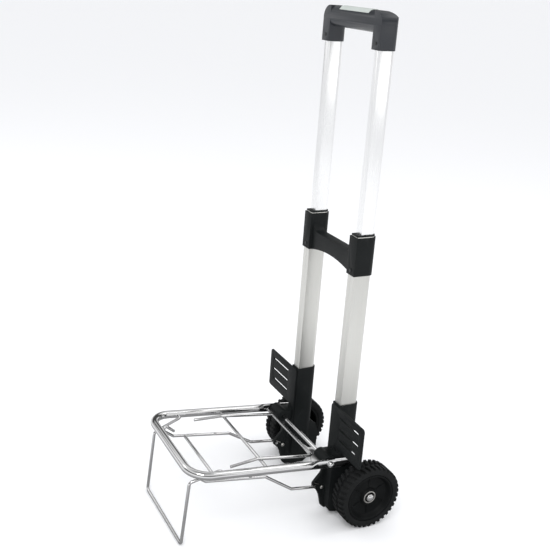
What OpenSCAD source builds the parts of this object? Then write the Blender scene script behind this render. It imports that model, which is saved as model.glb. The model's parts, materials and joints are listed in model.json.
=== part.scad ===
// Folding hand truck: telescopic D-section tubes, fold-up wire deck, prop leg and two wheels.
// +Z is up, the load deck reaches towards -Y, and the origin is on the floor under the middle.

/* [Overall] */
// Distance between the centrelines of the two tube stacks
tube_spacing = 174; // [150:2:220]
// Height of the top of the grip, with the tubes pulled out
grip_top = 965; // [900:5:1160]
// Distance from the deck hinge to the centreline of the front tube
deck_length = 284; // [230:2:350]

/* [Upright tubes] */
// Width of the lower tube
outer_w = 22; // [18:0.5:28]
// Distance from the tube datum to the flat front of the lower tube
outer_front = 17.5; // [15:0.5:22]
// Distance from the tube datum to the round back of the lower tube
outer_back = 22; // [19:0.5:27]
// Wall of both tubes
tube_wall = 1.2; // [1:0.1:1.6]
// Height of the top end of the lower tube
outer_top = 573; // [500:1:600]
// Distance from the tube datum to the flat front of the upper tube
inner_front = 10; // [8:0.5:12]

/* [Plastic mouldings] */
// Wall of a moulding around a tube
socket_wall = 2.4; // [2:0.1:3.5]
// Height of the bridge sockets
bridge_h = 74; // [60:1:90]
// Depth of the web between the bridge sockets
web_d = 22; // [16:1:26]
// Height of the handle legs, from the mouth to the split line
handle_leg_h = 42; // [36:1:50]
// Wall of the handle around the upper tube
handle_wall = 3; // [2.4:0.1:4]
// How far the side wing of the base bracket reaches past the tube centreline
wing_reach = 107; // [90:1:120]
// Height of the lower edge of the wing
wing_low = 150; // [145:1:160]
// Height of the upper edge of the wing
wing_high = 234; // [220:1:250]

/* [Button] */
// Stroke of the release button
button_stroke = 4; // [3:0.5:4]
// Length of the release button
button_l = 102; // [80:2:110]

/* [Deck] */
// Outside diameter of the deck tube
deck_tube_d = 16; // [12:0.5:19]
// Bend radius of the deck tube centreline
deck_bend_r = 40; // [30:1:50]
// Diameter of the wires
wire_d = 6; // [5:0.5:7.2]
// Diameter of the hinge rod
hinge_rod_d = 8; // [6:0.5:9.6]
// Fall of the deck towards the hinge, in degrees
deck_tilt = 5.54; // [3:0.01:8]
// Height of the deck hinge
hinge_z = 128.6; // [120:0.1:135]

/* [Wheels] */
// Outside diameter of the wheel
wheel_d = 130; // [110:1:140]
// Width of the tyre
wheel_w = 40; // [32:1:44]
// Diameter of the axle
axle_d = 12; // [10:0.5:14]

/* [Hidden] */
$fn = 64;
EPS = 0.01;
BIG = 400;

// clearances
press_gap = 0.1;
slide_gap = 0.3;
running_gap = 0.06;
end_gap = 0.3;
side_gap = 1.5;

// a bend in a solid wire is a little fatter than the straights, whose ends sink into it
bend_swell = 0.02;
bend_sink = 0.15;

// tube stack, in the tube's own XY plane
s = tube_spacing / 2;
outer_bottom = 40;
inner_w = outer_w - 2 * tube_wall - 2 * slide_gap;
inner_back = outer_back - tube_wall - slide_gap;
overlap = 43;
inner_bottom = outer_top - overlap;
flange_h = 3;
bush_drop = 34;

// heights
mouth_z = grip_top - 65;
split_z = mouth_z + handle_leg_h;
inner_top = split_z - 12;
grip_bottom = split_z - 15;

// wheel and axle, measured from the tube datum
wheel_r = wheel_d / 2;
axle_y = 27;
axle_r = axle_d / 2;

// deck geometry, measured from the hinge axis
hinge_y = -43;
deck_tube_r = deck_tube_d / 2;
deck_tube_wall = 1.5;
wire_r = wire_d / 2;
hinge_rod_r = hinge_rod_d / 2;
blade_t = 6;
blade_h = 19;
blade_tail = 46;
blade_front = 24;
knuckle_r = 13;
deck_x = s + 34.6;
blade_in = deck_x - blade_t / 2;
blade_out = deck_x + blade_t / 2;
knuckle_in = s - 8;
knuckle_out = blade_in - end_gap;
rod_x = s + 1;
weld_sink = 0.4;
rod_lift = wire_d - weld_sink;

// carrier that holds the wheel, beside the tube
carrier_in = s - 6;
carrier_out = s + 23;
wheel_in = s + 44;
wheel_x = wheel_in + wheel_w / 2;
boss_r = 15;

// front of the base bracket
plate_front = 23.6;
plate_t = 5;
wing_t = 3;

// link pivot on the bracket, and the link's own bends, from the tube datum
link_x = s + 8;
link_front_x = s + 1;
link_y = -52.2;
link_z = 63.4;
rivet_y = -36.6;
rivet_z = 56;
rivet_r = 2.5;
ear_out = link_x - wire_r - 1.5;
ear_in = ear_out - 7;

// leg pivot, in deck coordinates ahead of the hinge
leg_pivot_u = deck_length - 61;
foot_y = hinge_y - deck_length - 6.5;
foot_x = s + 10.5;
foot_z = wire_r + bend_swell;

// the whole truck is centred on the origin from its front wire to the back of its wheels
tube_y = (-foot_y + wire_r - axle_y - wheel_r) / 2;

ALUMINIUM = [0.82, 0.83, 0.83];
BLACK = [0.07, 0.075, 0.08];
CHROME = [0.75, 0.76, 0.77];
STEEL = [0.6, 0.61, 0.62];
PAD = [0.75, 0.79, 0.76];
RUBBER = [0.05, 0.05, 0.05];

// ---------- helpers ----------

// places a child at the tube datum of the left (+X) or right (-X) tube stack
module at_tube(side) {
    translate([side * s, tube_y, 0]) children();
}

// builds the left-hand child, or its mirror image on the right
module sided(side) {
    translate([0, tube_y, 0]) mirror([side < 0 ? 1 : 0, 0, 0]) children();
}

// D-shaped outline: flat front towards -Y, half-round back
module d_outline(w, front, back) {
    translate([-w / 2, -front]) square([w, front + back - w / 2]);
    translate([0, back - w / 2]) circle(r = w / 2);
}

module d_post(w, front, back, z0, z1) {
    translate([0, 0, z0]) linear_extrude(z1 - z0) d_outline(w, front, back);
}

// D-shaped post that is larger than the lower tube by g all round
module outer_post(g, z0, z1) {
    d_post(outer_w + 2 * g, outer_front + g, outer_back + g, z0, z1);
}

// D-shaped post that is larger than the upper tube by g all round
module inner_post(g, z0, z1) {
    d_post(inner_w + 2 * g, inner_front + g, inner_back + g, z0, z1);
}

// cylinder along X from x0 to x1
module rod_along_x(r, x0, x1, y, z) {
    translate([x0, y, z]) rotate([0, 90, 0]) cylinder(r = r, h = x1 - x0);
}

// cylinder along Y from y0 to y1
module rod_along_y(r, y0, y1, x, z) {
    translate([x, y0, z]) rotate([-90, 0, 0]) cylinder(r = r, h = y1 - y0);
}

// extrudes a YZ outline along X from x0 to x1
module along_x(x0, x1) {
    translate([x0, 0, 0]) rotate([90, 0, 90]) linear_extrude(x1 - x0) children();
}

// extrudes an XZ outline along Y from y0 to y1
module along_y(y0, y1) {
    translate([0, y1, 0]) rotate([90, 0, 0]) linear_extrude(y1 - y0) children();
}

module rounded_rect(x0, y0, x1, y1, r) {
    translate([x0 + r, y0]) square([x1 - x0 - 2 * r, y1 - y0]);
    translate([x0, y0 + r]) square([x1 - x0, y1 - y0 - 2 * r]);
    for (x = [x0 + r, x1 - r], y = [y0 + r, y1 - r]) translate([x, y]) circle(r = r);
}

function unit(v) = v / norm(v);

// a direction square to d
function square_to(d) = unit(abs(d[0]) < 0.9 ? cross(d, [1, 0, 0]) : cross(d, [0, 1, 0]));

// rigid move to origin p with x, y and z along the given unit vectors
function move_to(p, x, y, z) = [
    [x[0], y[0], z[0], p[0]],
    [x[1], y[1], z[1], p[1]],
    [x[2], y[2], z[2], p[2]],
    [0, 0, 0, 1]];

module straight(a, b, r) {
    d = unit(b - a);
    x = square_to(d);
    multmatrix(move_to(a, x, cross(d, x), d)) cylinder(r = r, h = norm(b - a));
}

// round section of a bar, hollow when bore is over 0
module bar_section(r, bore) {
    difference() {
        circle(r = r);
        if (bore > 0) circle(r = bore);
    }
}

// how much of each leg the bend at points[i] takes up
function tuck(points, i, bend_r) = (i == 0 || i == len(points) - 1) ? 0 :
    bend_r * tan(acos(unit(points[i] - points[i - 1]) * unit(points[i + 1] - points[i])) / 2);

// the bar from points[i] on, drawn along the local Z axis; x is the world direction of local X
module bar_from(points, i, x, r, bend_r, bore) {
    d = unit(points[i + 1] - points[i]);
    more = i + 2 < len(points);
    l = norm(points[i + 1] - points[i]) - tuck(points, i, bend_r) - tuck(points, i + 1, bend_r);
    solid = bore == 0;
    sink_in = solid && i > 0 ? bend_sink : 0;
    sink_out = solid && more ? bend_sink : 0;
    translate([0, 0, -sink_in]) linear_extrude(l + sink_in + sink_out) bar_section(r, bore);
    if (more) {
        e = unit(points[i + 2] - points[i + 1]);
        turn = acos(d * e);
        n = unit(e - d * (d * e));
        translate([0, 0, l]) rotate([0, 0, atan2(n * cross(d, x), n * x)]) {
            translate([bend_r, 0, 0]) rotate([90, 0, 180]) rotate_extrude(angle = turn)
                translate([bend_r, 0]) bar_section(solid ? r + bend_swell : r, bore);
            translate([bend_r, 0, 0]) rotate([0, turn, 0]) translate([-bend_r, 0, 0])
                bar_from(points, i + 1, cross(cross(d, n), e), r, bend_r, bore);
        }
    }
}

// round bar through the points, with every corner bent to bend_r; a hollow one has only square
// bends, which meet the straights face to face
module bent_bar(points, r, bend_r, bore = 0) {
    d = unit(points[1] - points[0]);
    x = square_to(d);
    multmatrix(move_to(points[0], x, cross(d, x), d)) bar_from(points, 0, x, r, bend_r, bore);
}

// a point of the deck: x across, u ahead of the hinge along the deck, w above the deck plane
function deck_point(x, u, w) = [
    x,
    hinge_y - u * cos(deck_tilt) + w * sin(deck_tilt),
    hinge_z + u * sin(deck_tilt) + w * cos(deck_tilt)];

// puts a child drawn in deck coordinates (x, -u, w) in its place
module on_deck() {
    translate([0, tube_y + hinge_y, hinge_z]) rotate([-deck_tilt, 0, 0]) children();
}

// mirrors the first half of a path and runs it back on the other side
function both_sides(half) = concat(half,
    [for (i = [len(half) - 1 : -1 : 0]) [-half[i][0], half[i][1], half[i][2]]]);

module button_head_screw(r, head_r, head_h, l) {
    rotate([90, 0, 0]) {
        translate([0, 0, -l]) cylinder(r = r, h = l);
        cylinder(r = head_r, h = head_h * 0.4);
        translate([0, 0, head_h * 0.4]) cylinder(r1 = head_r, r2 = head_r * 0.6, h = head_h * 0.6);
    }
}

// ---------- upright tubes ----------

screw_z = outer_top - bridge_h + 9;
screw_r = 1.8;
handle_screw_z = mouth_z + 11;

module outer_tube(side) {
    color(ALUMINIUM) at_tube(side) difference() {
        outer_post(0, outer_bottom, outer_top);
        outer_post(-tube_wall, outer_bottom - 1, outer_top + 1);
        rod_along_y(screw_r + press_gap, -BIG / 4, 0, 0, screw_z);
    }
}

module outer_tube_left() {
    outer_tube(1);
}

module outer_tube_right() {
    outer_tube(-1);
}

module inner_tube(side) {
    color(ALUMINIUM) at_tube(side) difference() {
        inner_post(0, inner_bottom, inner_top);
        inner_post(-tube_wall, inner_bottom - 1, inner_top + 1);
        rod_along_y(screw_r + press_gap, -BIG / 4, 0, 0, handle_screw_z);
    }
}

module inner_tube_left() {
    inner_tube(1);
}

module inner_tube_right() {
    inner_tube(-1);
}

plug_h = 25;
spigot_h = 18;
pin_r = 3;
pin_l = 10;
pin_z = inner_bottom - plug_h + 8;
plug_half = outer_w / 2 - tube_wall - slide_gap;
rod_r = 2.5;
rod_y = 1;
rod_end = inner_bottom - plug_h + 20;

module tube_plug(side) {
    color(BLACK) at_tube(side) difference() {
        union() {
            outer_post(-tube_wall - slide_gap, inner_bottom - plug_h, inner_bottom);
            inner_post(-tube_wall - press_gap, inner_bottom - EPS, inner_bottom + spigot_h);
        }
        translate([0, rod_y, rod_end - button_stroke - 1]) cylinder(r = rod_r + slide_gap, h = BIG);
        mirror([side < 0 ? 1 : 0, 0, 0])
            rod_along_x(pin_r + running_gap, -plug_half - 1, -plug_half + pin_l + button_stroke + 1,
                rod_y, pin_z);
    }
}

module tube_plug_left() {
    tube_plug(1);
}

module tube_plug_right() {
    tube_plug(-1);
}

module lock_pin(side) {
    color(STEEL) at_tube(side) mirror([side < 0 ? 1 : 0, 0, 0])
        rod_along_x(pin_r, -plug_half, -plug_half + pin_l, rod_y, pin_z);
}

module lock_pin_left() {
    lock_pin(1);
}

module lock_pin_right() {
    lock_pin(-1);
}

module tube_bush(side) {
    block_w = inner_w - 4;
    color(BLACK) at_tube(side) difference() {
        union() {
            outer_post(0.4, outer_top, outer_top + flange_h);
            translate([-block_w / 2, -outer_front + tube_wall + press_gap, outer_top - bush_drop])
                cube([block_w, outer_front - tube_wall - inner_front - press_gap, bush_drop + EPS]);
        }
        inner_post(slide_gap, outer_top - bush_drop - 1, outer_top + flange_h + 1);
    }
}

module tube_bush_left() {
    tube_bush(1);
}

module tube_bush_right() {
    tube_bush(-1);
}

// ---------- bridge ----------

socket_top = outer_top - 1.5;
socket_low = outer_top - bridge_h;
socket_grow = press_gap + socket_wall;
web_top = socket_top - 34;
web_fillet = 16;
web_arch = 10;
web_front = outer_front + socket_grow - 6;

module web_outline() {
    reach = s - outer_w / 2 - socket_grow;
    arch_r = (reach * reach + web_arch * web_arch) / (2 * web_arch);
    difference() {
        translate([-reach - 1.5, socket_low]) square([2 * reach + 3, web_top + web_fillet - socket_low]);
        translate([-reach, web_top + web_fillet]) square([2 * reach, BIG]);
        translate([-reach + web_fillet, web_top]) square([2 * (reach - web_fillet), BIG]);
        for (i = [-1, 1]) translate([i * (reach - web_fillet), web_top + web_fillet])
            circle(r = web_fillet);
        translate([0, socket_low + web_arch - arch_r]) circle(r = arch_r, $fn = 180);
    }
}

module bridge() {
    color(BLACK) translate([0, tube_y, 0]) difference() {
        union() {
            for (i = [-1, 1]) translate([i * s, 0, 0]) outer_post(socket_grow, socket_low, socket_top);
            along_y(-web_front, -web_front + web_d) web_outline();
        }
        for (i = [-1, 1]) translate([i * s, 0, 0]) {
            outer_post(press_gap, socket_low - 1, socket_top + 1);
            rod_along_y(screw_r + press_gap, -BIG / 4, 0, 0, screw_z);
        }
    }
}

module bridge_screws() {
    front = outer_front + socket_grow;
    color(STEEL) for (i = [-1, 1])
        translate([i * s, tube_y - front, screw_z])
            button_head_screw(screw_r, 3.6, 1.8, socket_grow + tube_wall);
}

// ---------- base brackets ----------

module carrier_outline() {
    polygon([[-22, 120], [-31, 104], [-31, 24], [-26, 11], [-14, 8], [14, 8], [34, 22],
        [44, 42], [45, 74], [38, 96], [22, 110]]);
}

module ear_outline() {
    polygon([[-20, 112], [-38, 100], [-41, 89], [-57.5, 68.5], [-57.5, 60], [-47, 50.5],
        [-41, 38], [-35, 14], [-28, 8], [-12, 8]]);
}

// how far the keeper leaf lies from the link's bore
keeper_t = 1.6;
keeper_l = 13;
keeper_gap = 0.6;
keeper_lift = wire_r + keeper_gap + keeper_t / 2;

module keeper(x0, x1, grow) {
    translate([0, link_y, link_z]) rotate([-27, 0, 0])
        translate([x0, -4.5 - grow, keeper_lift - keeper_t / 2 - grow])
            cube([x1 - x0, keeper_l + 2 * grow, keeper_t + 2 * grow]);
}

// the stub axle starts where it clears the round back of the lower tube
axle_rise = max(0, axle_y - axle_r - (outer_back - outer_w / 2));
axle_in = s + sqrt(max(0, pow(outer_w / 2, 2) - pow(axle_rise, 2))) + 1.2;

module base_bracket(side) {
    grow = press_gap + socket_wall;
    low = outer_bottom - 5;
    color(BLACK) sided(side) difference() {
        union() {
            // sleeve round the lower tube
            translate([s, 0, 0]) outer_post(grow, low, wing_high + 2);
            // carrier beside the wheel, with the axle boss
            along_x(carrier_in, carrier_out) carrier_outline();
            rod_along_x(boss_r, carrier_out - 1, wheel_in - side_gap, axle_y, wheel_r);
            // front plate, and the thinner slotted wing beside it
            along_y(-plate_front, -plate_front + plate_t)
                translate([s - outer_w / 2 - 0.5, 90]) square([outer_w + 1, wing_high - 100]);
            along_y(-plate_front, -plate_front + wing_t)
                rounded_rect(s - outer_w / 2 - 0.5, wing_low, s + wing_reach, wing_high, 6);
            // hinge knuckle
            rod_along_x(knuckle_r, knuckle_in, knuckle_out, hinge_y, hinge_z);
            along_x(knuckle_in, s + 20)
                translate([hinge_y, hinge_z - 11]) square([-hinge_y - 12, 22]);
            // ear for the link
            along_x(ear_in, ear_out) ear_outline();
        }
        translate([s, 0, 0]) outer_post(press_gap, outer_bottom, BIG);
        rod_along_x(hinge_rod_r + running_gap, 0, BIG, hinge_y, hinge_z);
        rod_along_x(axle_r + 0.02, axle_in - 0.2, BIG, axle_y, wheel_r);
        rod_along_x(wire_r + running_gap, ear_in - 1, ear_out + 1, link_y, link_z);
        rod_along_x(rivet_r + press_gap, ear_in - 1, ear_out + 1, rivet_y, rivet_z);
        keeper(ear_in - 1, ear_out + 1, press_gap);
        // clearance for the rivet's outer head
        rod_along_x(rivet_r + 3, ear_out, carrier_out + 1, rivet_y, rivet_z);
        // three slots through the wing
        for (k = [0 : 2]) along_y(-plate_front - 1, -plate_front + plate_t + 1)
            rounded_rect(s + 23, wing_slot_z[k] - 2.4, s + wing_slot_end[k], wing_slot_z[k] + 2.4, 2.3);
    }
}
wing_slot_z = [wing_high - 17, (wing_high + wing_low) / 2 + 1.5, wing_low + 22];
wing_slot_end = [wing_reach - 16, wing_reach - 13.5, wing_reach - 21];

module base_bracket_left() {
    base_bracket(1);
}

module base_bracket_right() {
    base_bracket(-1);
}

// a rivet through each ear, with a domed head on both faces
module ear_rivets() {
    color(STEEL) for (i = [-1, 1]) sided(i) translate([0, rivet_y, rivet_z]) rotate([0, 90, 0])
        rotate_extrude() polygon([[0, ear_in - 2], [2.4, ear_in - 1.6], [4.2, ear_in],
            [rivet_r, ear_in], [rivet_r, ear_out], [4.2, ear_out], [2.4, ear_out + 1.6],
            [0, ear_out + 2]]);
}

// ---------- handle ----------

leg_w = inner_w + 2 * (press_gap + handle_wall);
leg_front = inner_front + 5.5;
leg_back = inner_back + 2;
corner_r = 22;
grip_back = 17;
grip_r = 13;
shoulder_r = 20;
yoke_w = 8;
yoke_h = 6;
yoke_low = split_z - yoke_h;
button_back = 10;
button_front = leg_front - 2.3;
stem_l = 16;

module grip_outline(z0, z1) {
    intersection() {
        rounded_rect(-leg_front, grip_bottom, grip_back, grip_top - 1, grip_r);
        translate([-BIG / 2, z0]) square([BIG, z1 - z0]);
    }
}

// side view of a handle leg, with the round shoulder at the back
module leg_side_outline() {
    translate([-BIG / 2, 0]) square([BIG / 2 + leg_back - shoulder_r, grip_top]);
    translate([0, 0]) square([leg_back, grip_top - 1 - shoulder_r]);
    translate([leg_back - shoulder_r, grip_top - 1 - shoulder_r]) circle(r = shoulder_r);
}

module handle_solid(z0, z1) {
    intersection() {
        for (i = [-1, 1]) translate([i * s, 0, 0]) d_post(leg_w, leg_front, leg_back, z0, z1);
        along_x(-s - leg_w, s + leg_w) leg_side_outline();
    }
    along_x(-s, s) grip_outline(max(z0, grip_bottom), z1);
}

module handle_base() {
    color(BLACK) translate([0, tube_y, 0]) difference() {
        handle_solid(mouth_z, split_z);
        for (i = [-1, 1]) translate([i * s, 0, 0]) {
            inner_post(press_gap, mouth_z - 1, inner_top + press_gap);
            translate([0, rod_y, 0]) cylinder(r = rod_r + slide_gap, h = BIG * 3);
            rod_along_y(screw_r + press_gap, -BIG / 4, 0, 0, handle_screw_z);
        }
        // channel that the yoke drops into
        translate([-s - 4.5, rod_y - yoke_w / 2 - 0.5, yoke_low - button_stroke - 0.5])
            cube([2 * s + 9, yoke_w + 1, BIG]);
        // pocket for the spring
        translate([0, rod_y, grip_bottom + 2]) cylinder(r = 5.5, h = BIG);
    }
}

module handle_cap() {
    half = s + leg_w / 2;
    color(BLACK) translate([0, tube_y, 0]) difference() {
        intersection() {
            handle_solid(split_z, grip_top - 1);
            along_y(-BIG / 4, BIG / 4) {
                translate([-half, 0]) square([2 * half, grip_top - 1 - corner_r]);
                translate([-half + corner_r, 0]) square([2 * (half - corner_r), grip_top - 1]);
                for (i = [-1, 1]) translate([i * (half - corner_r), grip_top - 1 - corner_r])
                    circle(r = corner_r);
            }
        }
        // opening that the button sinks into
        translate([-button_l / 2 - 0.4, -button_front - 0.3, split_z + 5])
            cube([button_l + 0.8, button_front + button_back + 0.6, BIG]);
        translate([-stem_l / 2 - 0.5, rod_y - yoke_w / 2 - 0.5, split_z - 1])
            cube([stem_l + 1, yoke_w + 1, BIG]);
    }
}

module handle_screws() {
    color(STEEL) for (i = [-1, 1])
        translate([i * s, tube_y - leg_front, handle_screw_z])
            button_head_screw(screw_r, 3.4, 1.2, leg_front - inner_front + tube_wall + 2);
}

module release_button() {
    color(PAD) translate([0, tube_y, 0]) {
        along_x(-button_l / 2, button_l / 2)
            polygon([[-button_front, split_z + 9.5], [-button_front, grip_top - 8],
                [-button_front + 6.5, grip_top - 1], [-2, grip_top], [4, grip_top],
                [button_back, grip_top - 2.5], [button_back, split_z + 9.5]]);
        translate([-stem_l / 2, rod_y - yoke_w / 2, split_z])
            cube([stem_l, yoke_w, 10]);
    }
}

module release_yoke() {
    color(BLACK) translate([-s - 4, tube_y + rod_y - yoke_w / 2, yoke_low])
        cube([2 * s + 8, yoke_w, yoke_h]);
}

module release_rod(side) {
    color(STEEL) at_tube(side) translate([0, rod_y, rod_end])
        cylinder(r = rod_r, h = yoke_low - rod_end);
}

module release_rod_left() {
    release_rod(1);
}

module release_rod_right() {
    release_rod(-1);
}

// compression spring under the yoke: a wire of radius spring_wire swept along a helix
spring_r = 3.9;
spring_wire = 0.55;
spring_turns = 4;
spring_low = grip_bottom + 2 + spring_wire;
spring_high = yoke_low - spring_wire;
spring_steps = 72;
spring_sides = 8;

function spring_ring(k) =
    let (t = k / spring_steps, a = 360 * spring_turns * t, z = spring_low + (spring_high - spring_low) * t)
    [for (j = [0 : spring_sides - 1])
        let (b = 360 * j / spring_sides, r = spring_r + spring_wire * cos(b))
        [r * cos(a), r * sin(a), z + spring_wire * sin(b)]];

module button_spring() {
    n = spring_sides;
    last = spring_steps * n;
    color(STEEL) translate([0, tube_y + rod_y, 0]) polyhedron(
        points = [for (k = [0 : spring_steps]) each spring_ring(k)],
        faces = concat(
            [[for (j = [0 : n - 1]) j]],
            [[for (j = [0 : n - 1]) last + n - 1 - j]],
            [for (k = [0 : spring_steps - 1], j = [0 : n - 1])
                [k * n + j, (k + 1) * n + j, (k + 1) * n + (j + 1) % n, k * n + (j + 1) % n]]));
}

// ---------- wheels ----------

tyre_in_r = wheel_r - 15;
rim_t = 6;
hub_half = wheel_w / 2 - 1.5;
ring_in = 10;
ring_out = 13;
boss_face = wheel_w / 2 - 5.5;
ring_floor = wheel_w / 2 - 9;
cap_r = 7.75;
bead = 6;

// draws a child, modelled along Z with its outer face up, on the left wheel's axis
module on_axle() {
    translate([wheel_x, axle_y, wheel_r]) rotate([0, 90, 0]) children();
}

module tyre(side) {
    h = wheel_w / 2;
    color(RUBBER) sided(side) on_axle() rotate_extrude($fn = 96)
        polygon([[tyre_in_r, -h + 1], [wheel_r - bead, -h], [wheel_r, -h + bead],
            [wheel_r, h - bead], [wheel_r - bead, h], [tyre_in_r, h - 1]]);
}

module tyre_left() {
    tyre(1);
}

module tyre_right() {
    tyre(-1);
}

module wheel_hub(side) {
    bore = axle_r + running_gap;
    color(BLACK) sided(side) on_axle() difference() {
        union() {
            rotate_extrude($fn = 96) polygon([
                [bore, -hub_half], [15, -hub_half], [17, 0], [tyre_in_r - rim_t, 2],
                [tyre_in_r - rim_t, -hub_half], [tyre_in_r, -hub_half], [tyre_in_r, hub_half],
                [tyre_in_r - rim_t, hub_half], [tyre_in_r - rim_t - 2, 8], [18, 8],
                [16, boss_face], [bore, boss_face]]);
            for (k = [0 : 5]) rotate([0, 0, 60 * k]) translate([12, -1.5, -6])
                cube([tyre_in_r - rim_t / 2 - 12, 3, 17]);
        }
        translate([0, 0, ring_floor]) cylinder(r = ring_in, h = BIG);
        translate([0, 0, ring_floor - 2]) cylinder(r = bore, h = BIG);
        translate([0, 0, ring_floor]) difference() {
            cylinder(r = ring_out, h = BIG);
            translate([0, 0, -1]) cylinder(r = ring_in - 1, h = BIG * 2);
        }
    }
}

module wheel_hub_left() {
    wheel_hub(1);
}

module wheel_hub_right() {
    wheel_hub(-1);
}

module hub_ring(side) {
    color(STEEL) sided(side) on_axle() translate([0, 0, ring_floor]) difference() {
        cylinder(r = ring_out, h = boss_face - ring_floor + 0.8);
        translate([0, 0, -1]) cylinder(r = ring_in, h = BIG);
    }
}

module hub_ring_left() {
    hub_ring(1);
}

module hub_ring_right() {
    hub_ring(-1);
}

axle_end = wheel_x + boss_face + 2;

module axle(side) {
    color(STEEL) sided(side) rod_along_x(axle_r, axle_in, axle_end, axle_y, wheel_r);
}

module axle_left() {
    axle(1);
}

module axle_right() {
    axle(-1);
}

module axle_cap(side) {
    color(CHROME) sided(side) on_axle() translate([0, 0, boss_face - 1]) rotate_extrude($fn = 64)
        difference() {
            polygon([[0, 0], [cap_r, 0], [cap_r, 4], [cap_r - 2.2, 6.2], [0, 7]]);
            square([axle_r + 0.02, 3]);
        }
}

module axle_cap_left() {
    axle_cap(1);
}

module axle_cap_right() {
    axle_cap(-1);
}

// ---------- deck ----------

// U-shaped centreline of the deck tube, from the blade on one side to the other
function deck_route() = both_sides([
    deck_point(deck_x, blade_front, 0),
    deck_point(deck_x, deck_length, 0)]);

module blade() {
    along_x(blade_in, blade_out) difference() {
        union() {
            translate([-blade_front - 6, -blade_h / 2])
                square([blade_front + 6 + blade_tail - blade_h / 2, blade_h]);
            translate([blade_tail - blade_h / 2, 0]) circle(r = blade_h / 2);
        }
        circle(r = hinge_rod_r + 0.02);
    }
}

module deck_tube() {
    pin_in = deck_x - deck_tube_r - 1;
    color(CHROME) {
        translate([0, tube_y, 0]) difference() {
            bent_bar(deck_route(), deck_tube_r, deck_bend_r, deck_tube_r - deck_tube_wall);
            for (i = [0, 1]) mirror([i, 0, 0])
                rod_along_x(wire_r + running_gap, pin_in, deck_x, leg_pivot[1], leg_pivot[2]);
        }
        on_deck() for (i = [0, 1]) mirror([i, 0, 0]) blade();
    }
}

// the long wire: a free front end, the left run, and the rear run across to the right deck tube
rear_u = 22;
rear_w = 1;
cross_u = deck_length - 152;

module deck_wire_left() {
    color(CHROME) translate([0, tube_y, 0]) bent_bar([
        deck_point(rod_x + 6, deck_length - 86, -2),
        deck_point(rod_x, deck_length - 142, rod_lift),
        deck_point(rod_x, rear_u, rear_w),
        deck_point(-deck_x + deck_tube_r - 0.4, rear_u, rear_w)], wire_r, 8);
}

module deck_wire_right() {
    color(CHROME) translate([0, tube_y, 0]) bent_bar([
        deck_point(-rod_x - 6, deck_length - 86, -2),
        deck_point(-rod_x, deck_length - 142, rod_lift),
        deck_point(-rod_x, rear_u + 1, rear_w + 0.5)], wire_r, 8);
}

module deck_cross_wire() {
    reach = deck_x - deck_tube_r + 0.4;
    color(CHROME) translate([0, tube_y, 0])
        straight(deck_point(-reach, cross_u, 0), deck_point(reach, cross_u, 0), wire_r);
}

module deck_gusset() {
    reach = deck_x - deck_tube_r + 0.4;
    clear = knuckle_r + 1.5;
    color(CHROME) on_deck() translate([0, 0, -1.25]) linear_extrude(2.5) difference() {
        polygon([[26, -20], [s - 31, -14], [s - 29, 0], [s - 11, 0], [s - 10, -clear],
            [reach, -clear], [reach, -38], [s + 4, -27], [s - 40, -24]]);
        translate([s - 60, -hinge_rod_r]) square([80, 2 * hinge_rod_r]);
    }
}

module hinge_rod() {
    color(CHROME) translate([0, tube_y, 0])
        rod_along_x(hinge_rod_r, -blade_out - 4, blade_out + 4, hinge_y, hinge_z);
}

module hinge_nut(side) {
    color(CHROME) sided(side) translate([blade_out, hinge_y, hinge_z]) rotate([0, 90, 0])
        rotate_extrude() difference() {
            polygon([[0, 0], [6.6, 0], [6.6, 2], [5.4, 4.6], [3, 6.2], [0, 6.6]]);
            square([hinge_rod_r + 0.02, 4]);
        }
}

module hinge_nut_left() {
    hinge_nut(1);
}

module hinge_nut_right() {
    hinge_nut(-1);
}

// ---------- link frame ----------

// the link's front hook, beside the top of the leg
hook_y = hinge_y - deck_length * 0.919;
hook_z = 139.5;

module link_wire(side) {
    front = link_front_x;
    color(CHROME) sided(side) {
        bent_bar([
            [link_x, link_y, link_z],
            [link_x, link_y - 56, link_z + 7],
            [front, link_y - 111, link_z + 41.5],
            [front, hook_y + 18, hook_z - 18.5],
            [front, hook_y - 2, hook_z - 4],
            [front, hook_y - 2, hook_z + 9.5],
            [front, hook_y + 20, hook_z - 8]], wire_r, 5);
        rod_along_x(wire_r, ear_in - 1, link_x, link_y, link_z);
        translate([link_x, link_y, link_z]) sphere(r = wire_r + bend_swell);
    }
}

module link_wire_left() {
    link_wire(1);
}

module link_wire_right() {
    link_wire(-1);
}

module link_cross_wire() {
    color(CHROME) translate([0, tube_y, 0])
        rod_along_x(wire_r, -link_front_x, link_front_x, hook_y + 42.5, hook_z - 22.5);
}

module link_keepers() {
    color(STEEL) for (i = [-1, 1]) sided(i) keeper(ear_in - 0.5, ear_out + 0.5, 0);
}

// ---------- leg ----------

leg_pivot = deck_point(deck_x - deck_tube_r, leg_pivot_u, 0);

module leg_frame() {
    half = [
        [leg_pivot[0] + 3, leg_pivot[1], leg_pivot[2]],
        [leg_pivot[0] - 8, leg_pivot[1], leg_pivot[2]],
        [foot_x + 0.5, foot_y + 11.5, 131],
        [foot_x, foot_y, foot_z]];
    color(CHROME) translate([0, tube_y, 0]) bent_bar(both_sides(half), wire_r, 7);
}

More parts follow.
